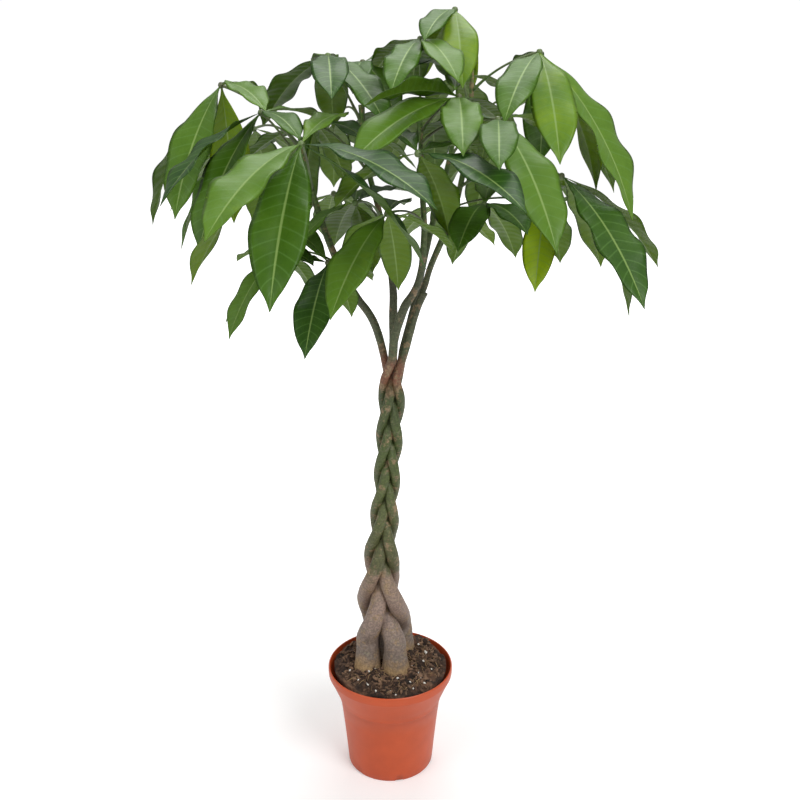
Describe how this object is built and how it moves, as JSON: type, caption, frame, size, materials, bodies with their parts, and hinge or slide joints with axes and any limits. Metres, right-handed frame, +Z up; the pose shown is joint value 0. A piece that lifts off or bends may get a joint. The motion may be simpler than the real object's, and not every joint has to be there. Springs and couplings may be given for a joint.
{
  "type": "potted money tree",
  "caption": "Braided-trunk indoor tree with fans of drooping glossy leaflets, planted in a flared nursery pot of soil",
  "frame": {"origin": "centre of the pot's base, on the surface it stands on", "axes": "+Z up, -Y toward the front, +X to the right of the front view"},
  "size_m": [0.6776, 0.7345, 1.12],
  "materials": {
    "pot": "satin terracotta-coloured plastic",
    "soil": "rough potting soil",
    "bark": "smooth green-brown bark",
    "leaf": "glossy leaf"
  },
  "bodies": {
    "root": {"leaf_back_left": "leaf", "leaf_back_low": "leaf", "leaf_back_low_left": "leaf", "leaf_back_mid": "leaf", "leaf_back_right": "leaf", "leaf_back_side": "leaf", "leaf_centre": "leaf", "leaf_crown": "leaf", "leaf_crown_low": "leaf", "leaf_front_left": "leaf", "leaf_front_low": "leaf", "leaf_front_mid": "leaf", "leaf_front_right": "leaf", "leaf_left_behind": "leaf", "leaf_left_high": "leaf", "leaf_left_low": "leaf", "leaf_left_mid": "leaf", "leaf_low_left": "leaf", "leaf_mid_low_left": "leaf", "leaf_mid_low_right": "leaf", "leaf_right_back": "leaf", "leaf_right_low": "leaf", "leaf_right_mid": "leaf", "leaf_right_top": "leaf", "leaf_top_back": "leaf", "leaf_top_left": "leaf", "leaf_top_mid": "leaf", "pot": "pot", "soil": "soil", "stem_back": "bark", "stem_front": "bark", "stem_left": "bark", "stem_middle": "bark", "stem_right": "bark"}
  },
  "joints": []
}
